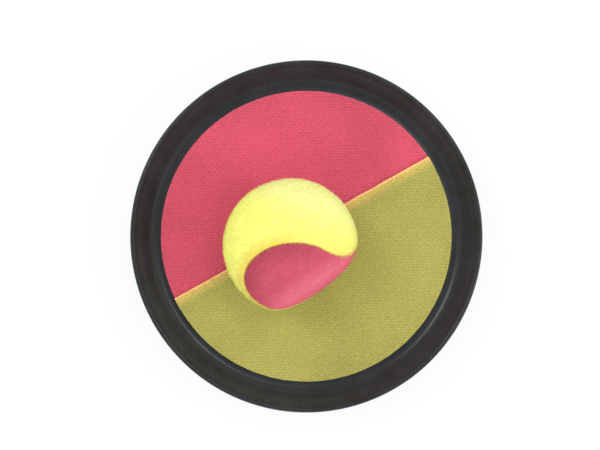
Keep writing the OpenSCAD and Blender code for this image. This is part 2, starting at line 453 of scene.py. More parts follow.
def makeLugs(side, finish):  # two lugs and the bar between them
    d = dish
    x, room, top = side * d["barX"], d["room"] / 2, d["back"] + d["wall"] / 2
    bar, reach = (x, d["barZ"]), room + d["barSink"]
    rounding = arc(bar, d["lugR"], math.pi, 2 * math.pi, d["lugTurns"])
    cheek = [(x - d["lugR"], top)] + rounding + [(x + d["lugR"], top)]
    parts = []
    for near, far in ((room, room + d["lugT"]), (-room - d["lugT"], -room)):
        lug = meshPiece("lug", *slab(cheek, near, far), finish)
        soft = lug.modifiers.new("edge", "BEVEL")
        soft.width, soft.segments, soft.limit_method = d["lugEdge"] * mm, 3, "ANGLE"
        parts.append(settle(lug))
    ring = arc(bar, d["barR"], 0, 2 * math.pi, d["barTurns"])[:-1]
    return parts + [meshPiece("bar", *slab(ring, -reach, reach), finish)]


def makeDish():
    d, lipWear, footWear = dish, dish["lipWear"], dish["footWear"]
    finish = makeDishFinish()
    shell, bead = latheDish(finish)
    cutters, parts = [], [shell]
    low, high = d["cutZ"]
    for side in (-1, 1):
        left, right = side * d["barX"] - d["window"] / 2, side * d["barX"] + d["window"] / 2
        box = [(left, low), (right, low), (right, high), (left, high)]
        cutters.append(meshPiece("windowCut", *slab(box, -d["room"] / 2, d["room"] / 2), None))
        cut = shell.modifiers.new("window", "BOOLEAN")
        cut.operation, cut.solver, cut.object = "DIFFERENCE", "EXACT", cutters[-1]
        parts += makeLugs(side, finish)
    settle(shell)
    whole = bmesh.new()
    for part in parts:
        whole.from_mesh(part.data)
    bmesh.ops.recalc_face_normals(whole, faces=whole.faces)
    wear = whole.verts.layers.float.new("wear")
    for v in whole.verts:  # rubbed along the lip, the ring and the lugs
        r, z = math.hypot(v.co.x, v.co.y) / mm, v.co.z / mm
        off = math.hypot(r - bead[0] - lipWear["out"], z - bead[1] - lipWear["up"])
        lip = max(0.0, 1 - off / lipWear["wide"])
        foot = max(0.0, (footWear["top"] - z) / footWear["deep"]) if r < footWear["within"] else 0.0
        v[wear] = min(1.0, lip + foot)
    whole.to_mesh(shell.data)
    whole.free()
    for spare in cutters + parts[1:]:
        bpy.data.objects.remove(spare)
    smoothAll(shell)
    sharpen(shell, 32)
    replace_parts(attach(shell, "paddle"), "dish")
    report(shell)


makeDish()


# catch face: two hook fabrics on one adhesive disc, the yellow one lapped over the red

face = {
    "r": 71.48, "under": 24.2, "sheet": 1.2, "ground": 0.5, "seat": 0.06, "lap": 4.4, "climb": (-3.6, 0.1),
    "clothRows": 150, "clothColumns": 110, "fray": 0.0016, "ripple": 0.035, "wander": (0.2, 0.1),
    "columns": 113, "rows": 101, "columnGap": 1.283, "hookGap": 1.482, "strayX": 0.12, "strayY": 0.14,
    "hookH": 0.6, "hookW": 0.56, "wire": 0.11, "sway": 0.16, "bareRim": 0.75, "bareEdge": 0.9, "dots": 0.15,
    "redTone": (0.97, 0.145, 0.225), "redGround": (0.95, 0.13, 0.205),
    "yellowTone": (0.69, 0.645, 0.165), "yellowGround": (0.62, 0.58, 0.142),
    "lapTone": (1.0, 0.71, 0.19), "lapFrom": -1.4, "lapTo": 4.0,
    "edgeTone": (1.0, 0.6, 0.22), "edgeFrom": 3.3, "edgeTo": 3.6,
    "glueTone": (0.62, 0.58, 0.47),
}


def lapped(tree, tone):  # the red below shows through the lap, and its bare edge is pale
    f = face
    y = axisOf(tree, objectPlace(tree), "Y")
    onLap = remap(tree, y, f["lapFrom"] * mm, f["lapTo"] * mm)
    onEdge = remap(tree, y, f["edgeFrom"] * mm, f["edgeTo"] * mm)
    through = mixed(tree, onLap, (*tone, 1.0), (*f["lapTone"], 1.0))
    return mixed(tree, onEdge, through, (*f["edgeTone"], 1.0)), onEdge


def hookFinish(name, tone, low, high, hasLap):
    finish, tree, shader = newFinish(name, {"Roughness": 0.48, "Specular IOR Level": 0.35,
                                            "Sheen Weight": 0.12, "Sheen Roughness": 0.4})
    marks = fillGroup(tree, fleck, {"Scale": 900.0, "Low": low, "High": high})
    colour = lapped(tree, tone)[0] if hasLap else tone
    paint(tree, shader, colour, marks["Shade"])
    emboss(tree, shader, cloudy(tree, objectPlace(tree), 2600.0, 2.0), 0.4, 0.0001)
    return finish


def clothFinish(name, tone, hasLap):
    sockets = {"Roughness": 0.85, "Specular IOR Level": 0.2, "Sheen Weight": 0.2}
    finish, tree, shader = newFinish(name, sockets)
    knit = fillGroup(tree, weave, {"Place": objectPlace(tree), "Rib": face["columnGap"] * mm,
                                   "Pick": face["hookGap"] / 2 * mm})
    marks = fillGroup(tree, fleck, {"Scale": 1100.0, "Low": 0.72, "High": 1.24})
    colour, thread = tone, knit["Thread"]
    if hasLap:
        colour, onEdge = lapped(tree, tone)
        # the bare edge is left without the painted weave shade
        thread = calc(tree, "MAXIMUM", thread, onEdge)
    dotted = calc(tree, "MULTIPLY_ADD", knit["Spot"], face["dots"], 1.0)
    # thread is painted shade in the weave's hollows
    shade = calc(tree, "MULTIPLY", calc(tree, "MULTIPLY", marks["Shade"], thread), dotted)
    paint(tree, shader, colour, shade)
    emboss(tree, shader, knit["Height"], 0.7, 0.00025)
    return finish


def makeHookField():
    tree, given, out = newGroup("hookField", "GeometryNodeTree", {
        "Geometry": "Geometry", "Columns": 101, "Rows": 101, "Column Gap": 0.0013, "Hook Gap": 0.0015,
        "Hook Height": 0.0007, "Hook Width": 0.0005, "Wire": 0.0001, "Sway": 0.15, "Reach": 0.07,
        "Last Row": 0.07, "Stray X": 0.0001, "Stray Y": 0.0001, "Seed": 3, "Finish": "Material"},
        {"Geometry": "Geometry"})
    width = calc(tree, "MULTIPLY", calc(tree, "SUBTRACT", given["Columns"], 1.0), given["Column Gap"])
    depth = calc(tree, "MULTIPLY", calc(tree, "SUBTRACT", given["Rows"], 1.0), given["Hook Gap"])
    grid = put(tree, "GeometryNodeMeshGrid", {
        "Size X": width, "Size Y": depth,
        "Vertices X": given["Columns"], "Vertices Y": given["Rows"]}).outputs["Mesh"]
    place = put(tree, "GeometryNodeInputPosition").outputs[0]
    column = calc(tree, "ROUND", calc(tree, "DIVIDE", axisOf(tree, place, "X"), given["Column Gap"]))
    odd = calc(tree, "FLOORED_MODULO", column, 2.0)
    half = calc(tree, "MULTIPLY", calc(tree, "MULTIPLY", odd, 0.5), given["Hook Gap"])
    most = joined(tree, given["Stray X"], given["Stray Y"])
    stray = anyVector(tree, scaled(tree, most, -1.0), most, given["Seed"])
    step = moved(tree, "ADD", joined(tree, y=half), stray)
    laid = put(tree, "GeometryNodeSetPosition", {"Geometry": grid, "Offset": step}).outputs[0]

    # only where the cloth is below, and short of its bare edges
    ray = put(tree, "GeometryNodeRaycast", {
        "Target Geometry": given["Geometry"], "Source Position": moved(tree, "ADD", place, (0, 0, 0.2)),
        "Ray Direction": (0, 0, -1), "Ray Length": 0.4}).outputs
    flat = moved(tree, "MULTIPLY", place, (1, 1, 0))
    far = put(tree, "ShaderNodeVectorMath", {0: flat}, operation="LENGTH").outputs["Value"]
    near = put(tree, "FunctionNodeCompare", {0: far, 1: given["Reach"]}, operation="LESS_THAN").outputs[0]
    before = put(tree, "FunctionNodeCompare", {0: axisOf(tree, place, "Y"), 1: given["Last Row"]},
                 operation="LESS_THAN").outputs[0]
    inside = put(tree, "FunctionNodeBooleanMath", {0: near, 1: before}, operation="AND").outputs[0]
    sockets = {0: ray["Is Hit"], 1: inside}
    missed = put(tree, "FunctionNodeBooleanMath", sockets, operation="NAND").outputs[0]
    kept = put(tree, "GeometryNodeDeleteGeometry", {"Geometry": laid, "Selection": missed}).outputs[0]
    sockets = {"Geometry": kept, "Position": ray["Hit Position"]}
    seated = put(tree, "GeometryNodeSetPosition", sockets).outputs[0]

    # one hook, bowed over to its tip
    tall, wide = given["Hook Height"], given["Hook Width"]
    rise = joined(tree, z=calc(tree, "MULTIPLY", tall, 1.05))
    over = joined(tree, y=calc(tree, "MULTIPLY", wide, 1.1), z=calc(tree, "MULTIPLY", tall, 1.45))
    tip = joined(tree, y=wide, z=calc(tree, "MULTIPLY", tall, 0.62))
    hook = wireAlong(tree, ((0, 0, -0.0001), rise, over, tip), 4, 4, given["Wire"], True)
    swing = scaled(tree, anyVector(tree, (-1, -1, -3.2), (1, 1, 3.2), given["Seed"]), given["Sway"])
    facing = joined(tree, z=calc(tree, "MULTIPLY", odd, math.pi))  # every other column looks back
    turn = asRotation(tree, moved(tree, "ADD", swing, facing))
    strew(tree, given, out, seated, hook, turn, anyNumber(tree, 0.86, 1.08, given["Seed"]))
    return tree


def lapLift(y):  # how far the yellow cloth has climbed onto the red
    low, high = face["climb"]
    t = min(1.0, max(0.0, (y - low) / (high - low)))
    return face["sheet"] * t * t * (3 - 2 * t)


def clothSpot(across, away, chord, way):  # from a straight edge to the round edge beyond it
    r, diagonal = face["r"], math.sqrt(0.5)
    start = math.asin(chord / r)
    rise = start + (way * math.pi / 4 - start) * away
    swing = way * math.pi / 4 * (2 - across)
    x = across * math.cos(rise) + away * (math.cos(swing) - across * diagonal)
    return r * x, r * (math.sin(rise) + away * (math.sin(swing) - way * diagonal))


def clothSheet(name, chord, way, overlaps, finish):
    f = face
    rows, columns = f["clothRows"], f["clothColumns"]
    wide, fine = f["wander"]
    points, faces = [], []
    for i in range(rows + 1):
        away = i / rows if way > 0 else 1 - i / rows
        for j in range(columns + 1):
            x, y = clothSpot(2 * j / columns - 1, away, chord, way)
            fray = 1 + f["fray"] * noise.noise((x * 0.5, y * 0.5, 7))
            z = f["under"] + f["ground"] + f["ripple"] * noise.noise((x * 0.11, y * 0.11, 3))
            slip = 0.0
            if overlaps:
                z += lapLift(y)
                if i > rows - 2:  # the cut edge wanders
                    slip = wide * noise.noise((x * 0.14, 5, 1)) + fine * noise.noise((x * 0.7, 9, 1))
            points.append((x * fray, y * fray + slip, z))
    for i in range(rows):
        for j in range(columns):
            a = i * (columns + 1) + j
            faces.append((a, a + 1, a + columns + 2, a + columns + 1))
    sheet = meshPiece(name, points, faces, finish)
    thick = sheet.modifiers.new("cloth", "SOLIDIFY")
    thick.thickness, thick.offset = (f["ground"] - f["seat"]) * mm, -1
    settle(sheet)
    smoothAll(sheet)
    sharpen(sheet, 50)
    return sheet


def makeFace():
    f = face
    r, lap = f["r"] * mm, f["lap"] * mm
    field = makeHookField()
    sizes = {"Columns": f["columns"], "Rows": f["rows"], "Column Gap": f["columnGap"] * mm,
             "Hook Gap": f["hookGap"] * mm, "Hook Height": f["hookH"] * mm, "Hook Width": f["hookW"] * mm,
             "Wire": f["wire"] * mm, "Sway": f["sway"], "Reach": r - f["bareRim"] * mm,
             "Stray X": f["strayX"] * mm, "Stray Y": f["strayY"] * mm}
    red = clothSheet("redCloth", 0, 1, False, clothFinish("redGroundCloth", f["redGround"], False))
    yellow = clothSheet("yellowCloth", f["lap"], -1, True,
                        clothFinish("yellowGroundCloth", f["yellowGround"], True))
    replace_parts(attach(red, "paddle"), "hook_sheet_red")
    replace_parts(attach(yellow, "paddle"), "hook_sheet_yellow")
    redYarn = hookFinish("redHookYarn", f["redTone"], 0.84, 1.14, False)
    yellowYarn = hookFinish("yellowHookYarn", f["yellowTone"], 0.8, 1.16, True)
    redHooks = spread("redHooks", red, field, {**sizes, "Last Row": r, "Seed": 11, "Finish": redYarn},
                      "paddle")
    yellowHooks = spread("yellowHooks", yellow, field,
                         {**sizes, "Last Row": lap - f["bareEdge"] * mm, "Seed": 23, "Finish": yellowYarn},
                         "paddle")
    film = plainFinish("adhesiveFilm", f["glueTone"], 0.88, 1.08, 160.0, {"Roughness": 0.5})
    dressNode("face_adhesive", film)


makeFace()


# ball: two dog-bone panels of felt round a rubber core, pressed flat on one side

ball = {
    "at": (-8.0, -1.0, 56.9), "r": 29.1, "felt": 1.3, "grid": 7,
    "turn": (52.9, 36.0, -153.8), "nearLobe": 56.4, "farLobe": 46.6, "sideLobes": 59.8,
    "pressTo": (-83.0, 5.0), "pressDepth": 5.5, "pressR": 75.0, "pressSoft": 4.0,
    "sag": 0.8, "sagTo": (-86.0, 50.0), "sagFrom": 15.0, "sagEnd": 60.0,
    "rollW": 1.7, "rollH": 0.7, "lumps": 0.08, "napDensity": 2.8e6, "napWire": 0.026, "napLean": 0.6,
    "inside": 0.6, "core": (0.22, 0.22, 0.21),
    "panels": {  # tones: painted shade at the seam (on the yellow also a painted pink bounce), the panel's own tone inside it, and a painted sheen towards one side
        "yellow": {"sign": 1, "nap": 1.2, "layers": "ABC", "fade": 6.0, "sheen": 0.4,
                   "glow": (1.0, 1.0, 0.6), "sheenPaintTo": 40.0, "sheenPaintWide": 0.75, "sheenPaintPower": 0.7,
                   "tones": ((0.88, 0.74, 0.13), (0.98, 0.98, 0.275), (0.98, 0.98, 0.43))},
        "pink": {"sign": -1, "nap": 0.7, "layers": "AB", "fade": 10.0, "sheen": 0.2,
                 "glow": (0.8, 0.14, 0.2), "sheenPaintTo": -86.0, "sheenPaintWide": 0.7, "sheenPaintPower": 1.1,
                 "tones": ((0.44, 0.067, 0.107), (0.615, 0.105, 0.164), (0.83, 0.202, 0.277))},
    },
}


def makePile(name, bow):
    tree, given, out = newGroup(name, "GeometryNodeTree", {
        "Geometry": "Geometry", "Density": 1000000.0, "Length": 0.001, "Wire": 0.00005, "Lean": 0.6,
        "Seed": 5, "Finish": "Material"}, {"Geometry": "Geometry"})
    dots = put(tree, "GeometryNodeDistributePointsOnFaces", {
        "Mesh": given["Geometry"], "Seed": given["Seed"], "Density": given["Density"]}).outputs
    strand = wireAlong(tree, [scaled(tree, p, given["Length"]) for p in bow], 2, 3, given["Wire"], False)
    tilt = scaled(tree, anyVector(tree, (-1, -1, -40), (1, 1, 40), given["Seed"]), given["Lean"])
    turn = put(tree, "FunctionNodeRotateRotation", {0: dots["Rotation"], 1: asRotation(tree, tilt)},
               rotation_space="LOCAL").outputs[0]
    strew(tree, given, out, dots["Points"], strand, turn, anyNumber(tree, 0.55, 1.15, given["Seed"]))
    return tree


def toneRamp(tree, value, tones, stops):
    node = put(tree, "ShaderNodeValToRGB", {"Fac": value})
    marks = node.color_ramp.elements
    marks.new(stops[1])
    for mark, tone, stop in zip(marks, tones, stops):
        mark.position, mark.color = stop, (*tone, 1.0)
    return node.outputs["Color"]


def feltFinish(name, panel, low, high):
    finish, tree, shader = newFinish(name, {"Roughness": 0.95, "Specular IOR Level": 0.1,
                                            "Sheen Weight": panel["sheen"], "Sheen Roughness": 0.5,
                                            "Sheen Tint": (*panel["glow"], 1.0)})
    marks = fillGroup(tree, fleck, {"Scale": 1100.0, "Low": low, "High": high})
    combed = put(tree, "ShaderNodeMapping", {"Vector": objectPlace(tree), "Rotation": (0, 0, -1.06),
                                             "Scale": (60.0, 700.0, 500.0)}).outputs[0]
    streak = remap(tree, cloudy(tree, combed, 1.0, 3.0), 0.3, 0.7, 0.97, 1.02)
    # the ramp paints shade at the seam and a pale sheen towards one side of the ball
    paintedShadeSheen = put(tree, "ShaderNodeAttribute", attribute_name="paintedShadeSheen").outputs["Fac"]
    colour = toneRamp(tree, paintedShadeSheen, panel["tones"], (0.0, ball["inside"], 1.0))
    shade = calc(tree, "MULTIPLY", marks["Shade"], streak)
    paint(tree, shader, colour, shade)
    emboss(tree, shader, cloudy(tree, objectPlace(tree), 1500.0, 5.0), 0.15, 0.0003)
    return finish


def unit(v):
    return v / np.linalg.norm(v, axis=-1, keepdims=True)


def heading(azimuth, elevation):
    az, el = math.radians(azimuth), math.radians(elevation)
    return np.array((math.cos(el) * math.cos(az), math.cos(el) * math.sin(az), math.sin(el)))


def pastLobe(local, axis, reach):  # angle beyond the round end of a panel, negative on the panel
    reach = math.radians(reach)
    lean = math.atan((math.sqrt(0.5) - math.cos(reach)) / math.sin(reach))
    middle = np.array(axis) * (math.cos(lean), math.cos(lean), math.sin(lean))
    return np.arccos(np.clip(local @ middle, -1, 1)) - math.acos(math.sqrt(0.5) * math.cos(lean))


def seamSide(local):  # signed angle to the seam, positive on the yellow panel
    b = ball
    pink = np.minimum(pastLobe(local, (0, 1, 1), b["nearLobe"]), pastLobe(local, (0, -1, 1), b["farLobe"]))
    yellow = np.minimum(*(pastLobe(local, (x, 0, -1), b["sideLobes"]) for x in (-1, 1)))
    return np.where(local[:, 2] >= 0, pink, -yellow)


def ballRadius(way, side):  # distance from the middle to the felt's face along each direction, in mm
    b = ball
    lean = way @ heading(*b["pressTo"])
    back = b["pressR"] + b["pressDepth"] - b["r"]
    flat = -back * lean + np.sqrt((back * lean) ** 2 - back ** 2 + b["pressR"] ** 2)
    blend = np.maximum(b["pressSoft"] - np.abs(flat - b["r"]), 0) / b["pressSoft"]
    radius = np.minimum(flat, b["r"]) - blend * blend * b["pressSoft"] / 4
    far = np.abs(side) * b["r"]
    near = np.clip(1 - far / b["rollW"], 0, 1)
    radius -= b["rollH"] * (1 - np.sqrt(1 - near ** 2))
    turn = np.degrees(np.arccos(np.clip(way @ heading(*b["sagTo"]), -1, 1)))
    wide = np.clip((b["sagEnd"] - turn) / (b["sagEnd"] - b["sagFrom"]), 0, 1)
    dip = b["sag"] * (1 - np.exp(-far / 2)) * wide * wide * (3 - 2 * wide)
    radius -= np.where(side < 0, dip, 0)  # the pressed pink sinks
    return radius + b["lumps"] * np.array([noise.noise((x * 7, y * 7, z * 7)) for x, y, z in way.tolist()])


def splitPanels():
    sphere = bmesh.new()
    bmesh.ops.create_icosphere(sphere, subdivisions=ball["grid"], radius=1)
    way = np.array([v.co[:] for v in sphere.verts])
    tris = np.array([[v.index for v in f.verts] for f in sphere.faces])
    sphere.free()
    x, y, z = (Matrix.Rotation(math.radians(a), 3, axis) for a, axis in zip(ball["turn"], "XYZ"))
    side = seamSide(way @ np.array(z @ y @ x))
    side[np.abs(side) < 1e-5] = 1e-5
    added, extra = {}, []

    def onSeam(i, j):
        i, j = min(i, j), max(i, j)
        if (i, j) not in added:
            t = side[i] / (side[i] - side[j])
            added[i, j] = len(way) + len(extra)
            extra.append(way[i] * (1 - t) + way[j] * t)
        return added[i, j]
    above = side > 0
    count = above[tris].sum(axis=1)
    panels = {1: tris[count == 3].tolist(), -1: tris[count == 0].tolist()}
    rims = {1: [], -1: []}
    for tri in tris[(count == 1) | (count == 2)].tolist():
        lone = 1 if above[tri].sum() == 1 else -1
        k = next(i for i in range(3) if (side[tri[i]] > 0) == (lone > 0))
        a, b, c = tri[k], tri[(k + 1) % 3], tri[(k + 2) % 3]
        p, q = onSeam(a, b), onSeam(a, c)
        panels[lone].append([a, p, q])
        panels[-lone].append([p, b, c, q])
        rims[lone].append((p, q))
        rims[-lone].append((q, p))
    way = unit(np.vstack([way, np.array(extra)]))
    return way, np.append(side, np.zeros(len(extra))), panels, rims


def markPaintedShadeSheen(obj, values):
    layer = obj.data.attributes.new("paintedShadeSheen", "FLOAT", "POINT")
    layer.data.foreach_set("value", values)


def panelPiece(name, way, radius, paintedShadeSheen, faces, rim, finish):
    used = sorted({i for f in faces for i in f})
    index = {i: n for n, i in enumerate(used)}
    centre = np.array(ball["at"])
    points = (centre + way[used] * radius[used, None]).tolist()
    shape = [[index[i] for i in f] for f in faces]
    skin = meshPiece("napGround", points, shape, None)
    under = (centre + way[used] * (radius[used, None] - ball["felt"])).tolist()
    n = len(used)
    lining = [[n + i for i in reversed(f)] for f in shape]
    skirt = [[index[p], n + index[p], n + index[q], index[q]] for p, q in rim]  # down into the seam
    panel = meshPiece(name, points + under, shape + lining + skirt, finish)
    values = paintedShadeSheen[used].tolist()
    markPaintedShadeSheen(skin, values)
    markPaintedShadeSheen(panel, values + [0.0] * n)
    return panel, skin


def makeBall():
    b = ball
    way, side, panels, rims = splitPanels()
    radius = ballRadius(way, side)
    nap = makePile("feltPile", [(0, 0, -0.1), (0, 0, 0.4), (0.35, 0, 0.75), (0.75, 0, 0.8)])
    for name, p in b["panels"].items():
        # painted sheen: the felt turns paler towards one side of the ball
        paintedSheen = np.clip(way @ heading(p["sheenPaintTo"], 0) / p["sheenPaintWide"], 0, 1) ** p["sheenPaintPower"]
        # painted shade: darker towards the seam, reaching the panel's own tone a fade's width inside it
        paintedShadeSheen = np.maximum(paintedSheen, b["inside"] * np.minimum(1, np.abs(side) * b["r"] / p["fade"]))
        felt = feltFinish(name + "Felt", p, 0.97, 1.03)
        fibre = feltFinish(name + "Fibre", p, 0.97, 1.04)
        faces, rim = panels[p["sign"]], rims[p["sign"]]
        panel, skin = panelPiece(name + "Panel", way, radius, paintedShadeSheen, faces, rim, felt)
        sharpen(panel, 60)
        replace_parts(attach(panel, "ball"), "ball_felt_" + name)
        for layer in p["layers"]:
            spread(name + "Nap" + layer, skin, nap,
                   {"Density": b["napDensity"], "Length": p["nap"] * mm, "Wire": b["napWire"] * mm,
                    "Lean": b["napLean"], "Seed": ord(layer) + p["sign"], "Finish": fibre},
                   "ball")
        bpy.data.objects.remove(skin)
        report(panel)
    dressNode("ball_core", plainFinish("hollowRubber", b["core"], 0.85, 1.1, 300.0, {"Roughness": 0.7}))


makeBall()


# hand strap: webbing round the two bars, sewn at one end and closed by a hook patch at the other

strap = {
    "w": 25.0, "t": 1.4, "palmX": 26.0, "bend": 12.0, "wrap": 2.75, "free": 3.1, "lead": 9.0,
    "tail": 19.0, "flap": 21.0, "tailOff": 1.45, "flapOff": 3.4, "step": 0.55, "rib": 2.1, "pick": 1.2,
    "fold": (60.9, 20.1, 18.3), "patchW": 21.0, "patchTop": 2.5, "grip": 4.5, "padStep": 0.7, "pileIn": 0.5,
    "loops": {"pad": 0.5, "density": 5e6, "long": 0.55, "wire": 0.05, "lean": 0.5, "seed": 4},
    "hooks": {"pad": 0.3, "density": 2.2e6, "long": 0.42, "wire": 0.07, "lean": 0.2, "seed": 6},
    "stitch": 2.2, "stitchGap": 0.7, "thread": 0.26, "boxIn": 3.5, "boxLow": 3.0, "borderIn": 1.2,
    "edgeShare": 0.48, "edgeMost": 0.6, "edgeSteps": 4, "flatPoints": 19, "notch": 0.003, "notchPitch": 1.3,
    "bendSteps": 14, "tailSteps": 30, "leadSteps": 8, "wrapSteps": 22, "foldSteps": 24, "easeSteps": 10,
    "web": (0.034, 0.034, 0.038), "patch": (0.016, 0.016, 0.018), "yarn": (0.05, 0.05, 0.055),
}


def strapPaths():
    s = strap
    bar = (dish["barX"], dish["barZ"])
    middle, end = (0, s["t"] / 2), (s["palmX"], s["t"] / 2)

    def tangent(p, radius, way):
        return aim(p, bar) + way * math.asin(radius / math.dist(p, bar))
    ramp = tangent(end, s["wrap"], 1)
    far = math.sqrt(math.dist(end, bar) ** 2 - s["wrap"] ** 2)
    top = far - s["lead"]

    def onRamp(up, out):
        return along(along(end, ramp, up), ramp - math.pi / 2, out)

    def leadIn(foot, way, tip):
        return corner(along(foot, way, s["lead"]), foot, tip, s["bend"], s["leadSteps"]) + [tip]
    bend = corner(middle, end, along(end, ramp, far), s["bend"], s["bendSteps"])
    tailFoot, tailTip = onRamp(top, s["tailOff"]), onRamp(top - s["tail"], s["tailOff"])
    tailWay = tangent(tailFoot, s["wrap"], -1)
    tail = bend + arc(bar, s["wrap"], ramp + math.pi / 2, tailWay - math.pi / 2, s["tailSteps"])
    tail += leadIn(tailFoot, tailWay, tailTip)
    wrap = bend + arc(bar, s["wrap"], ramp + math.pi / 2, 0, s["wrapSteps"])
    flapFoot, flapTip = onRamp(top, s["flapOff"]), onRamp(top - s["flap"], s["flapOff"])
    flapWay = tangent(flapFoot, s["free"], -1)
    turn = flapWay - math.pi / 2
    ease = s["free"] - s["wrap"]  # the flap leaves the bar in a widening turn
    spiral = [along(bar, turn * i / s["foldSteps"], s["wrap"] + ease * min(1, i / s["easeSteps"]))
              for i in range(s["foldSteps"] + 1)]
    flap = spiral + leadIn(flapFoot, flapWay, flapTip)
    band = [(-x, z) for x, z in reversed(tail)] + wrap
    return band, flap, onRamp, top


def evenly(line, step):
    line = np.array(line, float)
    line = line[np.r_[True, np.linalg.norm(np.diff(line, axis=0), axis=1) > 1e-6]]
    far = np.r_[0, np.cumsum(np.linalg.norm(np.diff(line, axis=0), axis=1))]
    at = np.linspace(0, far[-1], max(2, int(far[-1] / step)))
    return np.c_[np.interp(at, far, line[:, 0]), np.interp(at, far, line[:, 1])], at


def bandSection(width, thick):  # a flat band with rounded edges, as pairs of across and up
    r, steps = min(strap["edgeShare"] * thick, strap["edgeMost"]), strap["edgeSteps"]
    half, high = width / 2 - r, thick / 2 - r
    flat = np.linspace(-half, half, strap["flatPoints"])
    section = [(y, high + r) for y in flat]
    section += arc((half, high), r, math.pi / 2, 0, steps)[1:]
    section += arc((half, -high), r, 0, -math.pi / 2, steps)
    section += [(y, -high - r) for y in flat[-2::-1]]
    section += arc((-half, -high), r, -math.pi / 2, -math.pi, steps)[1:]
    section += arc((-half, high), r, math.pi, math.pi / 2, steps)[:-1]
    return section, half


def bandCap(n, first):  # a strip of quads between the upper and the lower half of a section
    left, ring = n - strap["edgeSteps"], range(first, first + n)
    return [[ring[(left + k) % n], ring[left - 1 - k], ring[left - 2 - k], ring[(left + k + 1) % n]]
            for k in range(n // 2 - 1)]


def ribbon(name, line, width, thick, finish, step):
    path, at = evenly(line, step)
    way = unit(np.gradient(path, axis=0))
    section, half = bandSection(width, thick)
    n = len(section)
    points, faces = [], []
    for (x, z), (goX, goZ), far in zip(path, way, at):
        notch = strap["notch"] * math.sin(2 * math.pi * far / strap["notchPitch"])  # picks turn back here
        for y, up in section:
            points.append((x - goZ * up, y * (1 + notch * (abs(y) > half)), z + goX * up))
    for i in range(len(path) - 1):
        for j in range(n):
            k = (j + 1) % n
            faces.append((i * n + j, i * n + k, (i + 1) * n + k, (i + 1) * n + j))
    faces += bandCap(n, 0) + bandCap(n, (len(path) - 1) * n)
    piece = meshPiece(name, points, faces, finish)
    work = bmesh.new()
    work.from_mesh(piece.data)
    bmesh.ops.recalc_face_normals(work, faces=work.faces)
    sheet = work.loops.layers.uv.new("weave")
    for f in work.faces:
        for loop in f.loops:
            y, up = section[loop.vert.index % n]
            across = y + (thick / 2 - up if abs(y) > half else 0)
            loop[sheet].uv = (across * mm, at[loop.vert.index // n] * mm)
    work.to_mesh(piece.data)
    work.free()
    sharpen(piece, 50)
    return piece


def webFinish(name, tone, rib, pick):
    finish, tree, shader = newFinish(name, {"Roughness": 0.72, "Specular IOR Level": 0.35,
                                            "Sheen Weight": 0.25, "Sheen Roughness": 0.35})
    place = put(tree, "ShaderNodeUVMap", uv_map="weave").outputs[0]
    knit = fillGroup(tree, weave, {"Place": place, "Rib": rib * mm, "Pick": pick * mm})
    marks = fillGroup(tree, fleck, {"Scale": 800.0, "Low": 0.75, "High": 1.3})
    # the weave's Thread factor paints shade into its hollows
    shade = calc(tree, "MULTIPLY", marks["Shade"], knit["Thread"])
    paint(tree, shader, tone, shade)
    emboss(tree, shader, knit["Height"], 0.9, 0.0004)
    return finish


def yarnFinish(name, tone, rough, scale):
    sockets = {"Roughness": rough, "Specular IOR Level": 0.35, "Sheen Weight": 0.2}
    return plainFinish(name, tone, 0.75, 1.25, scale, sockets)


def makeStitches():
    tree, given, out = newGroup("stitchRun", "GeometryNodeTree", {
        "Geometry": "Geometry", "Stitch": 0.0022, "Pitch": 0.0029, "Thread": 0.00026, "Finish": "Material"},
        {"Geometry": "Geometry"})
    line = put(tree, "GeometryNodeMeshToCurve", {"Mesh": given["Geometry"]}).outputs[0]
    sockets = {"Curve": line, "Length": given["Pitch"]}
    dots = put(tree, "GeometryNodeCurveToPoints", sockets, mode="LENGTH").outputs
    bead = put(tree, "GeometryNodeMeshUVSphere", {"Segments": 8, "Rings": 6, "Radius": 1.0}).outputs[0]
    size = joined(tree, given["Thread"], given["Thread"], calc(tree, "MULTIPLY", given["Stitch"], 0.5))
    strew(tree, given, out, dots["Points"], bead, dots["Rotation"], size)
    return tree


def seam(name, lines, tree, finish, body):
    s = strap
    points, edges = [], []
    for line in lines:
        edges += [(len(points) + i, len(points) + i + 1) for i in range(len(line) - 1)]
        points += line
    guide = meshPiece(name + "Guide", points, [], None, edges)
    spread(name, guide, tree, {"Stitch": s["stitch"] * mm, "Pitch": (s["stitch"] + s["stitchGap"]) * mm,
                               "Thread": s["thread"] * mm, "Finish": finish}, body)
    bpy.data.objects.remove(guide)


def makeWebbing(band, flap):
    s = strap
    web = webFinish("blackWebbing", s["web"], s["rib"], s["pick"])
    piece = ribbon("webBand", band, s["w"], s["t"], web, s["step"])
    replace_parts(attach(piece, "paddle"), "strap_band")
    loose = ribbon("webFlap", flap, s["w"], s["t"], web, s["step"])
    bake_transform(loose)
    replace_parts(loose, "strap_flap")
    report(piece)
    report(loose)


def makePatch(names, node, body, kind, bow, onRamp, low, high, base, outward, finishes):
    s = strap
    padName, pileName = names
    middle, front = base + outward * kind["pad"] / 2, base + outward * kind["pad"]
    pad = ribbon(padName, [onRamp(low, middle), onRamp(high, middle)], s["patchW"], kind["pad"],
                 finishes[0], s["padStep"])
    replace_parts(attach(pad, body), node)
    ends = [onRamp(low + s["pileIn"], front), onRamp(high - s["pileIn"], front)]
    w = s["patchW"] / 2 - s["pileIn"]
    order = (0, 1, 3, 2) if outward > 0 else (0, 2, 3, 1)
    ground = meshPiece("pileGround", [(x, y, z) for y in (-w, w) for x, z in ends], [order], None)
    spread(pileName, ground, makePile(pileName, bow),
           {"Density": kind["density"], "Length": kind["long"] * mm, "Wire": kind["wire"] * mm,
            "Lean": kind["lean"], "Seed": kind["seed"], "Finish": finishes[1]}, body)
    bpy.data.objects.remove(ground)


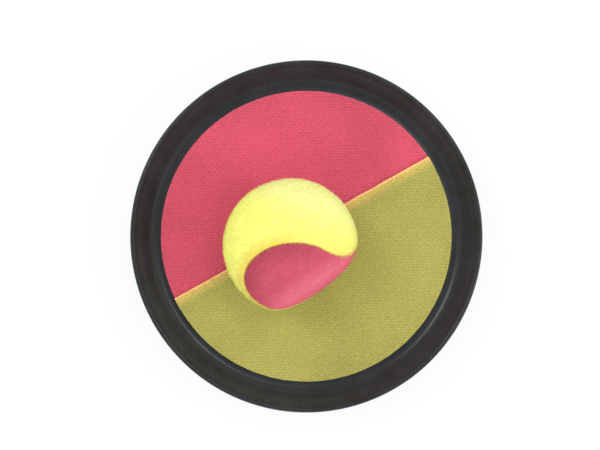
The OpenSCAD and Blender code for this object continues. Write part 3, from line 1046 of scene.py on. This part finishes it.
def makeStrap():
    s = strap
    band, flap, onRamp, top = strapPaths()
    makeWebbing(band, flap)
    low, high = top - s["flap"] + s["grip"], top - s["patchTop"]
    half = s["t"] / 2
    ground, yarn = (s["patch"], 0.85, 700.0), (s["yarn"], 0.6, 900.0)
    finishes = yarnFinish("patchGround", *ground), yarnFinish("patchYarn", *yarn)
    loop = [(-0.45, 0, -0.1), (-0.5, 0, 0.95), (0.5, 0, 0.95), (0.45, 0, -0.1)]
    hook = [(0, 0, -0.1), (0, 0, 1.15), (0.7, 0, 1.35), (0.62, 0, 0.6)]
    makePatch(("loopPad", "loopFuzz"), "strap_loop_patch", "paddle", s["loops"], loop, onRamp, low, high,
              half, 1, finishes)
    makePatch(("hookPad", "gripHooks"), "strap_hook_patch", "flap", s["hooks"], hook, onRamp, low, high,
              s["flapOff"] - half, -1, finishes)

    # a crossed box through the sewn tail, and a border round each patch
    run, thread = makeStitches(), yarnFinish("blackThread", s["yarn"], 0.5, 1200.0)

    def boxed(out, side, first, last, w, crossed):
        def at(up, y):
            x, z = onRamp(up, out)
            return (side * x, y, z)
        lines = [[at(first, -w), at(last, -w), at(last, w), at(first, w), at(first, -w)]]
        if crossed:
            lines += [[at(first, -w), at(last, w)], [at(first, w), at(last, -w)]]
        return lines
    tail = (-1, top - s["tail"] + s["boxLow"], high, s["w"] / 2 - s["boxIn"], True)
    border = (1, low + s["borderIn"], high - s["borderIn"], s["patchW"] / 2 - s["borderIn"], False)
    seam("tailStitches", boxed(s["tailOff"] + half, *tail) + boxed(-half, *tail), run, thread, "paddle")
    seam("loopStitches", boxed(-half, *border), run, thread, "paddle")
    seam("flapStitches", boxed(s["flapOff"] + half, *border), run, thread, "flap")


makeStrap()


# floor, lamps and sky

stage = {
    "floor": (0.9, 0.9, 0.9), "lift": 0.84, "half": 3000.0, "drop": -0.3, "sky": 0.97,
    "ceiling": 0.1, "ceilingFrom": 0.15, "ceilingTo": 0.75, "lookAt": (0, 0, 0.03),
    "lamps": {  # place, size and power
        "topRight": ((0.36, 0.1, 1.1), 0.2, 1.1), "topLeft": ((-0.3, 0.5, 1.0), 0.2, 1.9),
        "sideKey": ((0.82, -0.66, 0.85), 0.8, 3.6)},
}


def seenRay(tree):
    path = put(tree, "ShaderNodeLightPath").outputs
    return path["Is Glossy Ray"], calc(tree, "MAXIMUM", path["Is Camera Ray"], path["Is Transmission Ray"])


def makeFloor():
    w, z = stage["half"], stage["drop"]
    finish = bpy.data.materials.new("paleFloor")
    finish.use_nodes = True
    tree = finish.node_tree
    tree.nodes.clear()
    glossy, seen = seenRay(tree)
    lift = calc(tree, "MULTIPLY", calc(tree, "MAXIMUM", seen, glossy), stage["lift"])
    matt = put(tree, "ShaderNodeBsdfDiffuse", {"Color": (*stage["floor"], 1.0)}).outputs[0]
    white = put(tree, "ShaderNodeEmission", {"Color": (1, 1, 1, 1), "Strength": 1.0}).outputs[0]
    pale = put(tree, "ShaderNodeMixShader", {0: lift, 1: matt, 2: white}).outputs[0]
    clear = put(tree, "ShaderNodeBsdfTransparent").outputs[0]
    below = put(tree, "ShaderNodeNewGeometry").outputs["Backfacing"]
    sheet = put(tree, "ShaderNodeMixShader", {0: below, 1: pale, 2: clear}).outputs[0]
    put(tree, "ShaderNodeOutputMaterial", {"Surface": sheet})
    corners = [(-w, -w, z), (w, -w, z), (w, w, z), (-w, w, z)]
    meshPiece("paleFloor", corners, [(0, 1, 2, 3)], finish)


def makeSky():
    world = bpy.data.worlds.new("whiteRoom")
    world.use_nodes = True
    tree = world.node_tree
    glossy, seen = seenRay(tree)
    up = axisOf(tree, put(tree, "ShaderNodeTexCoord").outputs["Generated"], "Z")
    onCeiling = remap(tree, up, stage["ceilingFrom"], stage["ceilingTo"], 1.0, stage["ceiling"])
    mirror = calc(tree, "MULTIPLY", glossy, onCeiling)  # gloss sees white walls and a dim ceiling
    level = calc(tree, "MAXIMUM", seen, mirror)
    plain = calc(tree, "SUBTRACT", 1.0, calc(tree, "MAXIMUM", seen, glossy))
    back = next(n for n in tree.nodes if n.type == "BACKGROUND").inputs
    back["Color"].default_value = (1, 1, 1, 1)
    tree.links.new(calc(tree, "MULTIPLY_ADD", plain, stage["sky"], level), back["Strength"])
    scene.world = world


def makeLamps():
    for name, (at, size, power) in stage["lamps"].items():
        light = bpy.data.lights.new(name, "AREA")
        light.energy, light.size = power, size
        lamp = addToScene(bpy.data.objects.new(name, light))
        lamp.location = at
        lamp.rotation_mode = "QUATERNION"
        lamp.rotation_quaternion = (Vector(stage["lookAt"]) - lamp.location).to_track_quat("-Z", "Y")


makeFloor()
makeSky()
makeLamps()
print("floor, sky and lamps set")
